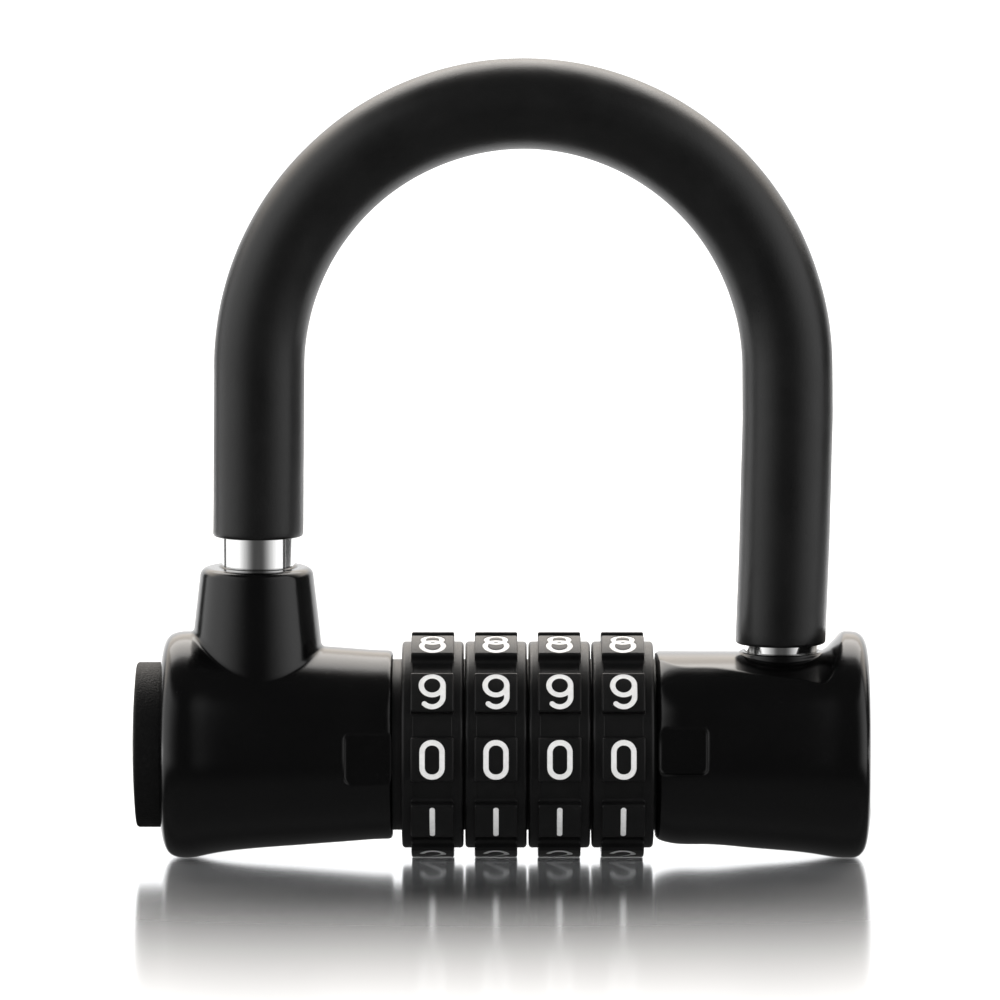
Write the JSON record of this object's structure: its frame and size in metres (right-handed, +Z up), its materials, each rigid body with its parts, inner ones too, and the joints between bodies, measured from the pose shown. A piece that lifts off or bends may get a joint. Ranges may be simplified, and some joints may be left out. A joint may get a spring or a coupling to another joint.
{
  "type": "combination u lock",
  "caption": "Small U lock: sleeved round shackle between a guide neck and a latch socket on a flared barrel with turning number dials and a push cap.",
  "frame": {"origin": "under the middle of the barrel, at the height of its lowest line", "axes": "+X along the barrel from the push cap to the latch end, -Y the reading side of the dials, +Z up through the shackle bow"},
  "size_m": [0.1028, 0.0316, 0.1109],
  "materials": {
    "housing": "gloss black over a cast housing",
    "dial": "satin black",
    "numeral": "white filled digits",
    "spacer": "satin black",
    "cap": "fine grained matte black",
    "sleeve": "soft matte black vinyl",
    "chrome": "polished chromed steel",
    "steel": "turned steel",
    "spring": "drawn spring wire",
    "brass": "turned brass",
    "seal": "matte black rubber"
  },
  "bodies": {
    "lock_body": {"left_housing": "housing", "right_housing": "housing", "core_tube": "steel", "spacer_ring": "spacer", "divider_washers": "steel", "click_spring": "spring", "cap_spring": "spring", "neck_seal": "seal", "socket_seal": "seal", "left_roll_pin": "steel", "right_roll_pin": "steel"},
    "push_bolt": {"push_cap": "cap", "spindle": "steel", "fin_blade": "steel", "cap_cross_pin": "steel"},
    "shackle": {"shackle": "chrome", "shackle_sleeve": "sleeve"},
    "dial_1": {"dial_1": "dial", "numerals_1": "numeral", "code_ring_1": "brass"},
    "dial_2": {"dial_2": "dial", "numerals_2": "numeral", "code_ring_2": "brass"},
    "dial_3": {"dial_3": "dial", "numerals_3": "numeral", "code_ring_3": "brass"},
    "dial_4": {"dial_4": "dial", "numerals_4": "numeral", "code_ring_4": "brass"}
  },
  "joints": [
    {"name": "dial_1_turn", "type": "hinge", "parent": "lock_body", "child": "dial_1", "pos_m": [-0.00984, 0, 0.01575], "axis": [1, 0, 0], "continuous": true, "deforming": ["click_spring"]},
    {"name": "dial_2_turn", "type": "hinge", "parent": "lock_body", "child": "dial_2", "pos_m": [-0.0011, 0, 0.01575], "axis": [1, 0, 0], "continuous": true, "deforming": ["click_spring"]},
    {"name": "dial_3_turn", "type": "hinge", "parent": "lock_body", "child": "dial_3", "pos_m": [0.00764, 0, 0.01575], "axis": [1, 0, 0], "continuous": true, "deforming": ["click_spring"]},
    {"name": "dial_4_turn", "type": "hinge", "parent": "lock_body", "child": "dial_4", "pos_m": [0.01638, 0, 0.01575], "axis": [1, 0, 0], "continuous": true, "deforming": ["click_spring"]},
    {"name": "cap_push", "type": "slide", "parent": "lock_body", "child": "push_bolt", "axis": [1, 0, 0], "range_m": [0, 0.0035], "stiffness_N_per_m": 400, "springref_m": -0.002, "deforming": ["cap_spring"]},
    {"name": "shackle_lift", "type": "slide", "parent": "lock_body", "child": "shackle", "axis": [0, 0, 1], "range_m": [0, 0.05]}
  ]
}
